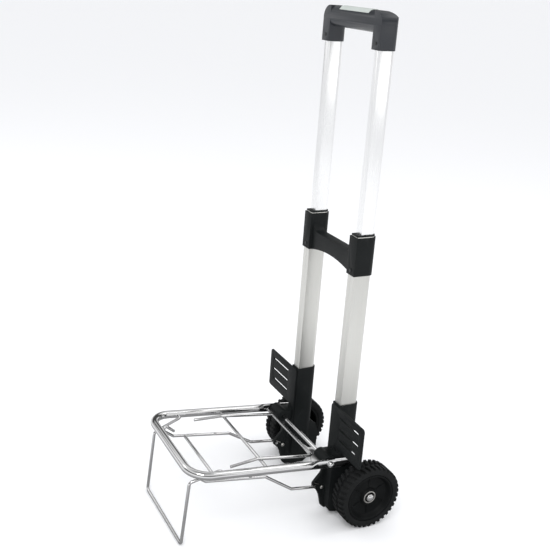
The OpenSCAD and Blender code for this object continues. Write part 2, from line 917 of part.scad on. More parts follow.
outer_tube_left();
outer_tube_right();
inner_tube_left();
inner_tube_right();
tube_plug_left();
tube_plug_right();
tube_bush_left();
tube_bush_right();
bridge();
bridge_screws();
base_bracket_left();
base_bracket_right();
ear_rivets();
handle_base();
handle_cap();
handle_screws();
release_button();
release_yoke();
release_rod_left();
release_rod_right();
lock_pin_left();
lock_pin_right();
button_spring();
axle_left();
axle_right();
axle_cap_left();
axle_cap_right();
wheel_hub_left();
wheel_hub_right();
hub_ring_left();
hub_ring_right();
tyre_left();
tyre_right();
deck_tube();
deck_wire_left();
deck_wire_right();
deck_cross_wire();
deck_gusset();
hinge_rod();
hinge_nut_left();
hinge_nut_right();
link_wire_left();
link_wire_right();
link_cross_wire();
link_keepers();
leg_frame();
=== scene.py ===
import json
import math
import bpy
import bmesh
from mathutils import Matrix, Vector


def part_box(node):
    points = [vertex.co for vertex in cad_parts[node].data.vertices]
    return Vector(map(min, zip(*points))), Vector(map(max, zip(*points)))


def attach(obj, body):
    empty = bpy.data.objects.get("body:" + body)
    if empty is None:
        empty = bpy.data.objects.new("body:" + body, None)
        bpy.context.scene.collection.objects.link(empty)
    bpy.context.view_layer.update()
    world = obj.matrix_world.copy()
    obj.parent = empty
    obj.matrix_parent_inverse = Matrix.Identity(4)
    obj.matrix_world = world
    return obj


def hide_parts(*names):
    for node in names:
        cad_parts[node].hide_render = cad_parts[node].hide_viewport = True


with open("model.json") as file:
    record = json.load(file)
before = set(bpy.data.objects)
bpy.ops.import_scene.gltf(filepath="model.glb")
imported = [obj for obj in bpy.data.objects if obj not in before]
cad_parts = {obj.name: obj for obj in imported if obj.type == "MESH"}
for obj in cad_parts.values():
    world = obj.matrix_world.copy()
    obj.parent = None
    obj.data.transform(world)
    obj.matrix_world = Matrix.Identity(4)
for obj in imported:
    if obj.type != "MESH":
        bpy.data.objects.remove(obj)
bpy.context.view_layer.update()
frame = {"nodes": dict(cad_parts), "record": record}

nodes = frame["nodes"]


# ---------- sizes and places, in metres, in the frame's own axes ----------

def middle(node):
    low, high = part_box(node)
    return (low + high) / 2


TUBE_X = middle("outer_tube_left").x
HINGE = middle("hinge_rod")
WHEEL = middle("wheel_hub_left")
WIRE_RADIUS = 0.003
DECK_TUBE_RADIUS = 0.008
DECK_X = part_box("deck_tube")[1].x - DECK_TUBE_RADIUS
DECK_LENGTH = 0.284
DECK_TILT = math.radians(5.54)
# the long wires of the deck and the front of the link wires run at this distance from the middle
ROD_X = TUBE_X + 0.001


# ---------- tools ----------

def take(piece):
    """Leaves this piece active and the only one selected."""
    bpy.ops.object.select_all(action="DESELECT")
    piece.select_set(True)
    bpy.context.view_layer.objects.active = piece


def begin_edit(piece, kind="FACE"):
    take(piece)
    bpy.ops.object.mode_set(mode="EDIT")
    bpy.ops.mesh.select_mode(type=kind)
    bpy.ops.mesh.select_all(action="DESELECT")


def end_edit():
    bpy.ops.object.mode_set(mode="OBJECT")


def pick_faces(piece, wanted):
    """Selects the faces whose centre and normal pass the test."""
    mesh = bmesh.from_edit_mesh(piece.data)
    for face in mesh.faces:
        face.select_set(bool(wanted(face.calc_center_median(), face.normal)))
    mesh.select_flush_mode()
    bmesh.update_edit_mesh(piece.data)


def pick_edges(piece, wanted):
    """Selects the edges that pass the test."""
    mesh = bmesh.from_edit_mesh(piece.data)
    for edge in mesh.edges:
        edge.select_set(bool(wanted(edge)))
    bmesh.update_edit_mesh(piece.data)


def outward(piece):
    """Merges doubled points and turns every face outwards."""
    begin_edit(piece)
    bpy.ops.mesh.select_all(action="SELECT")
    bpy.ops.mesh.remove_doubles(threshold=0.00001)
    bpy.ops.mesh.normals_make_consistent(inside=False)
    end_edit()


def settle(piece):
    """Writes the object's place into its mesh, so that it sits at the origin."""
    take(piece)
    bpy.ops.object.transform_apply(location=True, rotation=True, scale=True)


def smooth(piece, degrees=40):
    take(piece)
    bpy.ops.object.shade_smooth_by_angle(angle=math.radians(degrees))


def round_edges(piece, width, segments=2, degrees=30):
    take(piece)
    bevel = piece.modifiers.new("rounded edges", "BEVEL")
    bevel.width = width
    bevel.segments = segments
    bevel.limit_method = "ANGLE"
    bevel.angle_limit = math.radians(degrees)
    bevel.use_clamp_overlap = True
    bpy.ops.object.modifier_apply(modifier=bevel.name)


def finish_piece(piece, name, body, slot, *stands_for):
    """Names a piece, gives it its finish, and says what it rides and stands for."""
    piece.name = name
    piece.data.name = name
    piece.data.materials.clear()
    piece.data.materials.append(finishes[slot])
    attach(piece, body)
    if stands_for:
        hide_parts(*stands_for)


def moulded_from(node, width, segments=2):
    """A merged copy of a frame node with its flat faces joined and its edges rounded."""
    piece = bpy.data.objects.new(node + "_shape", nodes[node].data.copy())
    bpy.context.scene.collection.objects.link(piece)
    begin_edit(piece)
    bpy.ops.mesh.select_all(action="SELECT")
    bpy.ops.mesh.remove_doubles(threshold=0.000005)
    bpy.ops.mesh.dissolve_limited(angle_limit=math.radians(0.6))
    end_edit()
    if width:
        round_edges(piece, width, segments)
    smooth(piece, 32)
    return piece


def mirror_copy(piece, name):
    """The same piece on the other side, with its own mesh."""
    twin = piece.copy()
    twin.data = piece.data.copy()
    twin.name = name
    bpy.context.scene.collection.objects.link(twin)
    twin.scale = (-1, 1, 1)
    settle(twin)
    outward(twin)
    smooth(twin, 40)
    return twin


def finish_both(piece, node, shape, bodies, slot):
    """Finishes a left-hand piece, and its mirror image on the right."""
    twin = mirror_copy(piece, node + "_right_" + shape)
    finish_piece(piece, node + "_left_" + shape, bodies[0], slot, node + "_left")
    finish_piece(twin, node + "_right_" + shape, bodies[1], slot, node + "_right")


def bent_bar(name, route, radius, bend, sides=20, steps=8):
    """Round bar: a disc pushed along each straight and spun through each bend."""
    route = [Vector(place) for place in route]
    way = (route[1] - route[0]).normalized()
    bpy.ops.mesh.primitive_circle_add(vertices=sides, radius=radius, fill_type="NGON",
                                      location=route[0],
                                      rotation=way.to_track_quat("Z", "Y").to_euler())
    piece = bpy.context.object
    piece.name = name
    settle(piece)
    begin_edit(piece)
    bpy.ops.mesh.select_all(action="SELECT")
    start = route[0]
    for i in range(1, len(route)):
        way = (route[i] - route[i - 1]).normalized()
        if i + 1 == len(route):
            bpy.ops.mesh.extrude_region_move(TRANSFORM_OT_translate={"value": route[i] - start})
            break
        onward = (route[i + 1] - route[i]).normalized()
        turn = way.angle(onward)
        tuck = bend * math.tan(turn / 2)
        stop = route[i] - way * tuck
        inward = (onward - way * way.dot(onward)).normalized()
        bpy.ops.mesh.extrude_region_move(TRANSFORM_OT_translate={"value": stop - start})
        bpy.ops.mesh.spin(steps=steps, angle=turn, center=stop + inward * bend,
                          axis=onward.cross(way).normalized())
        start = route[i] + onward * tuck
    end_edit()
    outward(piece)
    return piece


def turned(name, profile, centre, steps=64, closed=True):
    """Lathe work about the X axis through centre: profile holds (x, radius) pairs."""
    centre = Vector(centre)
    bpy.ops.mesh.primitive_plane_add(size=0.001, location=centre)
    piece = bpy.context.object
    piece.name = name
    settle(piece)
    begin_edit(piece, "VERT")
    bpy.ops.mesh.select_all(action="SELECT")
    bpy.ops.mesh.merge(type="CENTER")
    here = centre.copy()
    for i, (x, radius) in enumerate(profile):
        there = centre + Vector((x, 0, radius))
        if i == 0:
            bpy.ops.transform.translate(value=there - here)
        else:
            bpy.ops.mesh.extrude_region_move(TRANSFORM_OT_translate={"value": there - here})
        here = there
    if closed:
        first = centre + Vector((profile[0][0], 0, profile[0][1]))
        bpy.ops.mesh.extrude_region_move(TRANSFORM_OT_translate={"value": first - here})
    bpy.ops.mesh.select_all(action="SELECT")
    bpy.ops.mesh.remove_doubles(threshold=0.000005)
    bpy.ops.mesh.select_all(action="SELECT")
    bpy.ops.mesh.spin(steps=steps, angle=math.tau, center=centre, axis=(1, 0, 0))
    end_edit()
    outward(piece)
    return piece


def joined(name, pieces):
    bpy.ops.object.select_all(action="DESELECT")
    for piece in pieces:
        piece.select_set(True)
    bpy.context.view_layer.objects.active = pieces[0]
    bpy.ops.object.join()
    pieces[0].name = name
    return pieces[0]


# ---------- finishes ----------

# marks are drawn out along the height of the truck
MARK_DIRECTION = (1, 1, 0.12)


def new_group(name, inputs, outputs):
    group = bpy.data.node_groups.new(name, "ShaderNodeTree")
    for label, kind, value in inputs:
        socket = group.interface.new_socket(name=label, in_out="INPUT", socket_type=kind)
        socket.default_value = value
    for label, kind in outputs:
        group.interface.new_socket(name=label, in_out="OUTPUT", socket_type=kind)
    enter = group.nodes.new("NodeGroupInput")
    leave = group.nodes.new("NodeGroupOutput")
    return group, enter, leave


def surface_grain_group():
    """Fine grain, broad patches of tone, and the roughness that goes with them."""
    group, enter, leave = new_group(
        "surface_grain",
        [("Tone", "NodeSocketColor", (0.5, 0.5, 0.5, 1)),
         ("Second Tone", "NodeSocketColor", (0.6, 0.6, 0.6, 1)),
         ("Smoothest", "NodeSocketFloat", 0.3), ("Roughest", "NodeSocketFloat", 0.5),
         ("Grain Scale", "NodeSocketFloat", 900.0), ("Patch Scale", "NodeSocketFloat", 14.0),
         ("Stretch", "NodeSocketVector", (1, 1, 1))],
        [("Color", "NodeSocketColor"), ("Roughness", "NodeSocketFloat"),
         ("Height", "NodeSocketFloat")])
    add, link = group.nodes.new, group.links.new
    place = add("ShaderNodeTexCoord")
    stretch = add("ShaderNodeMapping")
    link(place.outputs["Object"], stretch.inputs["Vector"])
    link(enter.outputs["Stretch"], stretch.inputs["Scale"])
    grain = add("ShaderNodeTexNoise")
    grain.inputs["Detail"].default_value = 3
    link(stretch.outputs["Vector"], grain.inputs["Vector"])
    link(enter.outputs["Grain Scale"], grain.inputs["Scale"])
    patch = add("ShaderNodeTexNoise")
    patch.inputs["Detail"].default_value = 4
    link(place.outputs["Object"], patch.inputs["Vector"])
    link(enter.outputs["Patch Scale"], patch.inputs["Scale"])
    # the tone follows the patches a little more than the grain
    both = add("ShaderNodeMath")
    both.operation = "MULTIPLY_ADD"
    both.inputs[1].default_value = 0.45
    link(grain.outputs["Fac"], both.inputs[0])
    half = add("ShaderNodeMath")
    half.operation = "MULTIPLY"
    half.inputs[1].default_value = 0.55
    link(patch.outputs["Fac"], half.inputs[0])
    link(half.outputs[0], both.inputs[2])
    spread = add("ShaderNodeMapRange")
    spread.inputs["From Min"].default_value = 0.3
    spread.inputs["From Max"].default_value = 0.7
    link(both.outputs[0], spread.inputs["Value"])
    tone = add("ShaderNodeMix")
    tone.data_type = "RGBA"
    link(spread.outputs["Result"], tone.inputs["Factor"])
    link(enter.outputs["Tone"], tone.inputs["A"])
    link(enter.outputs["Second Tone"], tone.inputs["B"])
    rough = add("ShaderNodeMapRange")
    link(spread.outputs["Result"], rough.inputs["Value"])
    link(enter.outputs["Smoothest"], rough.inputs["To Min"])
    link(enter.outputs["Roughest"], rough.inputs["To Max"])
    link(tone.outputs["Result"], leave.inputs["Color"])
    link(rough.outputs["Result"], leave.inputs["Roughness"])
    link(grain.outputs["Fac"], leave.inputs["Height"])
    return group


def handling_marks_group():
    """Thin scuffs and rubbed spots, which lighten the surface and dull or shine it."""
    group, enter, leave = new_group(
        "handling_marks",
        [("Color", "NodeSocketColor", (0.5, 0.5, 0.5, 1)),
         ("Mark Color", "NodeSocketColor", (0.7, 0.7, 0.7, 1)),
         ("Roughness", "NodeSocketFloat", 0.4), ("Mark Roughness", "NodeSocketFloat", 0.6),
         ("Amount", "NodeSocketFloat", 0.3), ("Scale", "NodeSocketFloat", 60.0),
         ("Direction", "NodeSocketVector", MARK_DIRECTION)],
        [("Color", "NodeSocketColor"), ("Roughness", "NodeSocketFloat"),
         ("Mask", "NodeSocketFloat")])
    add, link = group.nodes.new, group.links.new
    place = add("ShaderNodeTexCoord")
    run = add("ShaderNodeMapping")
    link(place.outputs["Object"], run.inputs["Vector"])
    link(enter.outputs["Direction"], run.inputs["Scale"])
    cells = add("ShaderNodeTexVoronoi")
    cells.feature = "DISTANCE_TO_EDGE"
    link(run.outputs["Vector"], cells.inputs["Vector"])
    link(enter.outputs["Scale"], cells.inputs["Scale"])
    line = add("ShaderNodeMapRange")
    line.inputs["From Min"].default_value = 0.0
    line.inputs["From Max"].default_value = 0.035
    line.inputs["To Min"].default_value = 1.0
    line.inputs["To Max"].default_value = 0.0
    link(cells.outputs["Distance"], line.inputs["Value"])
    where = add("ShaderNodeTexNoise")
    where.inputs["Scale"].default_value = 38
    where.inputs["Detail"].default_value = 5
    link(place.outputs["Object"], where.inputs["Vector"])
    few = add("ShaderNodeMapRange")
    few.inputs["From Min"].default_value = 0.54
    few.inputs["From Max"].default_value = 0.70
    link(where.outputs["Fac"], few.inputs["Value"])
    both = add("ShaderNodeMath")
    both.operation = "MULTIPLY"
    link(line.outputs["Result"], both.inputs[0])
    link(few.outputs["Result"], both.inputs[1])
    mask = add("ShaderNodeMath")
    mask.operation = "MULTIPLY"
    mask.use_clamp = True
    link(both.outputs[0], mask.inputs[0])
    link(enter.outputs["Amount"], mask.inputs[1])
    tone = add("ShaderNodeMix")
    tone.data_type = "RGBA"
    link(mask.outputs[0], tone.inputs["Factor"])
    link(enter.outputs["Color"], tone.inputs["A"])
    link(enter.outputs["Mark Color"], tone.inputs["B"])
    rough = add("ShaderNodeMix")
    rough.data_type = "FLOAT"
    link(mask.outputs[0], rough.inputs["Factor"])
    link(enter.outputs["Roughness"], rough.inputs["A"])
    link(enter.outputs["Mark Roughness"], rough.inputs["B"])
    link(tone.outputs["Result"], leave.inputs["Color"])
    link(rough.outputs["Result"], leave.inputs["Roughness"])
    link(mask.outputs[0], leave.inputs["Mask"])
    return group


surface_grain = surface_grain_group()
handling_marks = handling_marks_group()


def finish_material(name, tone, second, smoothest, roughest, grain, patch, bump, bump_size,
                    mark, mark_rough, amount, mark_scale, stretch=(1, 1, 1), metallic=0.0,
                    specular=0.5):
    """A grained and slightly worn surface, between two tones and two roughnesses."""
    material = bpy.data.materials.new(name)
    material.use_nodes = True
    tree = material.node_tree
    shader = tree.nodes["Principled BSDF"]
    shader.inputs["Metallic"].default_value = metallic
    shader.inputs["Specular IOR Level"].default_value = specular
    body = tree.nodes.new("ShaderNodeGroup")
    body.node_tree = surface_grain
    body.inputs["Tone"].default_value = (*tone, 1)
    body.inputs["Second Tone"].default_value = (*second, 1)
    body.inputs["Smoothest"].default_value = smoothest
    body.inputs["Roughest"].default_value = roughest
    body.inputs["Grain Scale"].default_value = grain
    body.inputs["Patch Scale"].default_value = patch
    body.inputs["Stretch"].default_value = stretch
    marks = tree.nodes.new("ShaderNodeGroup")
    marks.node_tree = handling_marks
    marks.inputs["Mark Color"].default_value = (*mark, 1)
    marks.inputs["Mark Roughness"].default_value = mark_rough
    marks.inputs["Amount"].default_value = amount
    marks.inputs["Scale"].default_value = mark_scale
    marks.inputs["Direction"].default_value = MARK_DIRECTION
    tree.links.new(body.outputs["Color"], marks.inputs["Color"])
    tree.links.new(body.outputs["Roughness"], marks.inputs["Roughness"])
    raise_grain = tree.nodes.new("ShaderNodeBump")
    raise_grain.inputs["Strength"].default_value = bump
    raise_grain.inputs["Distance"].default_value = bump_size
    tree.links.new(body.outputs["Height"], raise_grain.inputs["Height"])
    tree.links.new(marks.outputs["Color"], shader.inputs["Base Color"])
    tree.links.new(marks.outputs["Roughness"], shader.inputs["Roughness"])
    tree.links.new(raise_grain.outputs["Normal"], shader.inputs["Normal"])
    return material


finishes = {
    "lower_aluminium": finish_material(
        "satin_aluminium", (0.60, 0.60, 0.575), (0.66, 0.66, 0.635), 0.30, 0.42, grain=700,
        patch=9, stretch=(1, 1, 0.02), bump=0.10, bump_size=0.0001, metallic=1.0,
        mark=(0.75, 0.75, 0.74), mark_rough=0.3, amount=0.25, mark_scale=220),
    "upper_aluminium": finish_material(
        "bright_aluminium", (0.83, 0.835, 0.84), (0.89, 0.895, 0.90), 0.22, 0.32, grain=700,
        patch=9, stretch=(1, 1, 0.02), bump=0.08, bump_size=0.0001, metallic=1.0,
        mark=(0.95, 0.95, 0.95), mark_rough=0.25, amount=0.2, mark_scale=220),
    "black_plastic": finish_material(
        "black_moulding", (0.0050, 0.0062, 0.0064), (0.0105, 0.0122, 0.0125), 0.40, 0.55,
        grain=1500, patch=20, bump=0.22, bump_size=0.0002, mark=(0.05, 0.052, 0.052),
        mark_rough=0.6, amount=0.25, mark_scale=120, specular=0.12),
    "handle_plastic": finish_material(
        "handle_moulding", (0.014, 0.016, 0.020), (0.024, 0.027, 0.033), 0.28, 0.42, grain=1600,
        patch=18, bump=0.14, bump_size=0.0002, mark=(0.08, 0.085, 0.09), mark_rough=0.5,
        amount=0.25, mark_scale=130, specular=0.42),
    "grey_pad": finish_material(
        "pale_pad", (0.48, 0.52, 0.49), (0.55, 0.59, 0.565), 0.38, 0.5, grain=1400, patch=25,
        bump=0.12, bump_size=0.0002, mark=(0.66, 0.69, 0.67), mark_rough=0.6, amount=0.3,
        mark_scale=150, specular=0.2),
    "steel": finish_material(
        "plated_steel", (0.46, 0.45, 0.43), (0.58, 0.57, 0.55), 0.25, 0.4, grain=1200, patch=60,
        bump=0.1, bump_size=0.0001, metallic=1.0, mark=(0.75, 0.75, 0.73), mark_rough=0.3,
        amount=0.3, mark_scale=300),
    "black_steel": finish_material(
        "blackened_steel", (0.012, 0.013, 0.014), (0.022, 0.023, 0.024), 0.35, 0.5, grain=1200,
        patch=60, bump=0.1, bump_size=0.0001, mark=(0.09, 0.09, 0.09), mark_rough=0.4, amount=0.3,
        mark_scale=300, specular=0.35),
    "chrome": finish_material(
        "bright_chrome", (0.62, 0.62, 0.625), (0.70, 0.70, 0.705), 0.05, 0.12, grain=1100,
        patch=30, bump=0.03, bump_size=0.0001, metallic=1.0, mark=(0.45, 0.45, 0.44),
        mark_rough=0.3, amount=0.3, mark_scale=260),
    "wheel_plastic": finish_material(
        "wheel_moulding", (0.0036, 0.0042, 0.0044), (0.0075, 0.0084, 0.0086), 0.42, 0.56,
        grain=1300, patch=24, bump=0.2, bump_size=0.0002, mark=(0.035, 0.035, 0.035),
        mark_rough=0.6, amount=0.25, mark_scale=140, specular=0.10),
    "tyre": finish_material(
        "tread_rubber", (0.0052, 0.0058, 0.0060), (0.0110, 0.0120, 0.0124), 0.5, 0.7, grain=1200,
        patch=35, bump=0.3, bump_size=0.0003, mark=(0.05, 0.049, 0.047), mark_rough=0.85,
        amount=0.35, mark_scale=160, specular=0.16),
}

slot_of = {}
for part in frame["record"]["subparts"]:
    slot_of[part["node"]] = part["material_slot"]
for label, node in nodes.items():
    for holder in node.material_slots:
        holder.material = finishes[slot_of[label]]


# ---------- mouldings and tubes that keep the frame's shape ----------

def dress(node, body, width, segments=2):
    """Finishes a rounded copy of a frame node."""
    piece = moulded_from(node, width, segments)
    finish_piece(piece, node + "_finished", body, slot_of[node], node)


for side in ("left", "right"):
    dress("outer_tube_" + side, "base", 0.0005)
    dress("inner_tube_" + side, "handle", 0.0005)
    dress("base_bracket_" + side, "base", 0.0008)
    dress("tube_bush_" + side, "base", 0.0004)
dress("bridge", "base", 0.0012, 3)
dress("handle_base", "handle", 0.0012, 3)
dress("handle_cap", "handle", 0.0012, 3)


def crowned_pad():
    """The release button, with its top rounded over like a pillow."""
    piece = moulded_from("release_button", 0)
    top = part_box("release_button")[1].z
    begin_edit(piece, "EDGE")
    pick_edges(piece, lambda edge: all(abs(v.co.z - top) < 0.0001 for v in edge.verts))
    bpy.ops.mesh.bevel(offset=0.003, segments=5, affect="EDGES", clamp_overlap=True)
    end_edit()
    smooth(piece, 40)
    return piece


finish_piece(crowned_pad(), "release_button_finished", "release", "grey_pad", "release_button")


# ---------- chrome deck ----------

def deck_point(x, along, above):
    """A place on the sloping deck: along it from the hinge, and square to it."""
    return Vector((x, HINGE.y - along * math.cos(DECK_TILT) + above * math.sin(DECK_TILT),
                   HINGE.z + along * math.sin(DECK_TILT) + above * math.cos(DECK_TILT)))


def onto_deck(piece):
    """Moves a piece from flat deck coordinates (x, minus along, above) onto the slope."""
    piece.matrix_world = Matrix.Translation(HINGE) @ Matrix.Rotation(-DECK_TILT, 4, "X")
    settle(piece)


def deck_tube():
    start = 0.044
    piece = bent_bar("deck_tube_bright", [
        (DECK_X, -start, 0), (DECK_X, -DECK_LENGTH, 0), (-DECK_X, -DECK_LENGTH, 0), (-DECK_X, -start, 0)],
        DECK_TUBE_RADIUS, 0.040, sides=32, steps=14)
    # each end is flattened to a blade with a rounded tip: (place along the deck, width, height)
    swage = [(-0.038, 0.80, 1.06), (-0.031, 0.50, 1.16), (-0.026, 0.375, 1.18),
             (0.034, 0.375, 1.18), (0.040, 0.375, 1.00), (0.0438, 0.375, 0.70),
             (0.0458, 0.375, 0.32)]
    for x in (DECK_X, -DECK_X):
        begin_edit(piece)
        pick_faces(piece, lambda centre, normal: normal.y > 0.9 and abs(centre.x - x) < 0.002
                   and abs(centre.y + start) < 0.001)
        y, wide, high = -start, 1.0, 1.0
        for to, new_wide, new_high in swage:
            bpy.ops.mesh.extrude_region_move(TRANSFORM_OT_translate={"value": (0, to - y, 0)})
            bpy.ops.transform.resize(value=(new_wide / wide, 1, new_high / high),
                                     center_override=(x, to, 0))
            y, wide, high = to, new_wide, new_high
        end_edit()
    onto_deck(piece)
    smooth(piece, 50)
    return piece


def cut_rod(name, route, radius=WIRE_RADIUS, bend=0.008, sides=20, steps=6):
    """Bent rod with the rims of its cut ends rounded."""
    piece = bent_bar(name, route, radius, bend, sides, steps)
    round_edges(piece, 0.0006, 2, 60)
    smooth(piece, 50)
    return piece


def deck_wire_left():
    return cut_rod("deck_wire_left_bright", [
        deck_point(ROD_X + 0.006, DECK_LENGTH - 0.086, -0.002),
        deck_point(ROD_X, DECK_LENGTH - 0.142, 0.0056),
        deck_point(ROD_X, 0.022, 0.001), deck_point(-DECK_X + 0.0084, 0.022, 0.001)])


def deck_wire_right():
    return cut_rod("deck_wire_right_bright", [
        deck_point(-ROD_X - 0.006, DECK_LENGTH - 0.086, -0.002),
        deck_point(-ROD_X, DECK_LENGTH - 0.142, 0.0056), deck_point(-ROD_X, 0.023, 0.0015)])


def deck_cross_wire():
    reach = DECK_X - 0.0082
    along = DECK_LENGTH - 0.152
    return cut_rod("deck_cross_wire_bright", [deck_point(-reach, along, 0), deck_point(reach, along, 0)])


def hinge_rod():
    reach = DECK_X + 0.007
    return cut_rod("hinge_rod_bright", [(-reach, HINGE.y, HINGE.z), (reach, HINGE.y, HINGE.z)],
                   radius=0.004, sides=28)


def hinge_nut_left():
    piece = turned("hinge_nut_left_bright", [
        (0.0003, 0.0041), (0.0001, 0.0058), (0.0007, 0.0064), (0.0019, 0.0064), (0.0028, 0.0060),
        (0.0042, 0.0052), (0.0055, 0.0037), (0.0063, 0.0018), (0.0065, 0.0)],
        (DECK_X + 0.003, HINGE.y, HINGE.z), 40, closed=False)
    smooth(piece, 40)
    return piece


finish_piece(deck_tube(), "deck_tube_bright", "deck", "chrome", "deck_tube")
finish_piece(deck_wire_left(), "deck_wire_left_bright", "deck", "chrome", "deck_wire_left")
finish_piece(deck_wire_right(), "deck_wire_right_bright", "deck", "chrome", "deck_wire_right")
finish_piece(deck_cross_wire(), "deck_cross_wire_bright", "deck", "chrome", "deck_cross_wire")
dress("deck_gusset", "deck", 0.0006)
finish_piece(hinge_rod(), "hinge_rod_bright", "deck", "chrome", "hinge_rod")
finish_both(hinge_nut_left(), "hinge_nut", "bright", ("deck", "deck"), "chrome")


# ---------- link wires ----------

LINK_PIVOT = Vector((TUBE_X + 0.008, HINGE.y - 0.0092, WHEEL.z - 0.0016))
HOOK_Y = HINGE.y - DECK_LENGTH * 0.919
HOOK_Z = 0.1395


def link_wire_left():
    """From the bracket's ear, under the deck and up, to an open hook at the front."""
    pivot = LINK_PIVOT
    return cut_rod("link_wire_left_bright", [
        (pivot.x - 0.0125, pivot.y, pivot.z), pivot, (pivot.x, pivot.y - 0.056, pivot.z + 0.007),
        (ROD_X, pivot.y - 0.111, pivot.z + 0.0415), (ROD_X, HOOK_Y + 0.018, HOOK_Z - 0.0185),
        (ROD_X, HOOK_Y - 0.002, HOOK_Z - 0.004), (ROD_X, HOOK_Y - 0.002, HOOK_Z + 0.0095),
        (ROD_X, HOOK_Y + 0.020, HOOK_Z - 0.008)], bend=0.0045, steps=7)


def link_cross_wire():
    y = HOOK_Y + 0.0425
    z = HOOK_Z - 0.0225
    return cut_rod("link_cross_wire_bright", [(-ROD_X, y, z), (ROD_X, y, z)])


finish_both(link_wire_left(), "link_wire", "bright", ("link", "link"), "chrome")
finish_piece(link_cross_wire(), "link_cross_wire_bright", "link", "chrome", "link_cross_wire")


# ---------- prop leg ----------

def leg_frame():
    top = deck_point(DECK_X - 0.008, DECK_LENGTH - 0.061, 0)
    foot_x = TUBE_X + 0.0105
    foot_y = HINGE.y - DECK_LENGTH - 0.0065
    half = [(top.x + 0.003, top.y, top.z), (top.x - 0.008, top.y, top.z),
            (foot_x + 0.0005, foot_y + 0.0115, 0.131), (foot_x, foot_y, 0.00302)]
    other_half = [(-x, y, z) for x, y, z in reversed(half)]
    piece = bent_bar("leg_frame_bright", half + other_half, WIRE_RADIUS, 0.007)
    smooth(piece, 50)
    return piece


finish_piece(leg_frame(), "leg_frame_bright", "leg", "chrome", "leg_frame")


# ---------- wheels ----------

LUGS = 36
LUG_GROWTH = 1.057
TREAD_FLOOR = 0.0590
TREAD_HALF = 0.0193
GROOVE_HALF = 0.0022
SLANT = 190
RIBS = 6
WHEEL_BODIES = ("wheel_left", "wheel_right")


def tread_block(centre, normal):
    """True on the staggered blocks of the tread."""
    x = centre.x - WHEEL.x
    radius = math.hypot(centre.y - WHEEL.y, centre.z - WHEEL.z)
    if radius < TREAD_FLOOR or abs(x) > TREAD_HALF:
        return False
    step = int((math.atan2(centre.z - WHEEL.z, centre.y - WHEEL.y) / math.tau + 1) * LUGS * 2)
    return abs(x) > GROOVE_HALF and (step + (x > 0)) % 2 == 0


def tyre_left():
    piece = turned("tyre_left_tread", [
        (-0.0190, 0.0502), (-0.0197, 0.0545), (-0.0196, 0.0598), (-0.0178, 0.0610), (-0.0105, 0.0613),
        (-0.0030, 0.0614), (0.0030, 0.0614), (0.0105, 0.0613), (0.0178, 0.0610), (0.0196, 0.0598),
        (0.0197, 0.0545), (0.0190, 0.0502)], WHEEL, LUGS * 2)
    begin_edit(piece)
    pick_faces(piece, tread_block)
    bpy.ops.mesh.extrude_region_move(TRANSFORM_OT_translate={"value": (0, 0, 0)})
    bpy.ops.transform.resize(value=(1, LUG_GROWTH, LUG_GROWTH), center_override=WHEEL)
    end_edit()
    # the outer rings are turned more than the inner ones, by SLANT degrees for each metre from
    # the middle of the tread, so that the blocks lie aslant
    for ring_x in (0.0105, 0.0178, 0.0196):
        begin_edit(piece, "VERT")
        mesh = bmesh.from_edit_mesh(piece.data)
        for point in mesh.verts:
            point.select_set(abs(abs(point.co.x - WHEEL.x) - ring_x) < 0.00005)
        mesh.select_flush_mode()
        bpy.ops.transform.rotate(value=math.radians(SLANT * ring_x), orient_axis="X",
                                 center_override=WHEEL)
        end_edit()
    round_edges(piece, 0.0005, 2, 28)
    smooth(piece, 35)
    return piece


def hub_rib(turn):
    """One rib of the dished hub, made upright at the origin and narrower on its outer face."""
    middle_x, middle_z = 0.0050, 0.0300
    thick, wide, long = 0.0080, 0.0028, 0.0270
    bpy.ops.mesh.primitive_cube_add(size=1, location=(0, 0, 0))
    rib = bpy.context.object
    rib.scale = (thick, wide, long)
    rib.location = (middle_x, 0, middle_z)
    settle(rib)
    begin_edit(rib)
    pick_faces(rib, lambda centre, normal: normal.x > 0.9)
    bpy.ops.transform.resize(value=(1, 0.55, 0.94), center_override=(middle_x + thick / 2, 0, middle_z))
    end_edit()
    round_edges(rib, 0.0006)
    rib.rotation_euler = (turn, 0, 0)
    settle(rib)
    rib.location = WHEEL
    settle(rib)
    return rib


def wheel_hub_left():
    dish = turned("wheel_hub_left_moulding", [
        (-0.0185, 0.00606), (-0.0185, 0.0145), (-0.0170, 0.0160), (0.0, 0.0170), (0.0020, 0.0430),
        (-0.0170, 0.0438), (-0.0185, 0.0452), (-0.0185, 0.0496), (0.0170, 0.0496), (0.0185, 0.0488),
        (0.0185, 0.0462), (0.0160, 0.0442), (0.0120, 0.0430), (0.0085, 0.0400), (0.0070, 0.0300),
        (0.0076, 0.0220), (0.0090, 0.0185), (0.0130, 0.0168), (0.0145, 0.0158), (0.0145, 0.0131),
        (0.0110, 0.0129), (0.0110, 0.00606)], WHEEL, 96)
    ribs = [hub_rib(math.tau * place / RIBS) for place in range(RIBS)]
    piece = joined("wheel_hub_left_moulding", [dish] + ribs)
    smooth(piece, 35)
    return piece


def hub_ring_left():
    piece = turned("hub_ring_left_bright", [
        (0.0110, 0.0106), (0.0149, 0.0106), (0.0154, 0.0111), (0.0154, 0.0124), (0.0149, 0.0130),
        (0.0110, 0.0130)], WHEEL, 64)
    smooth(piece, 40)
    return piece


def axle_cap_left():
    piece = turned("axle_cap_left_bright", [
        (0.0135, 0.00605), (0.0135, 0.0072), (0.0140, 0.00775), (0.0172, 0.00775), (0.0184, 0.0070),
        (0.0194, 0.0055), (0.0201, 0.0034), (0.0205, 0.0012), (0.0205, 0.0)], WHEEL, 48, closed=False)
    smooth(piece, 40)
    return piece


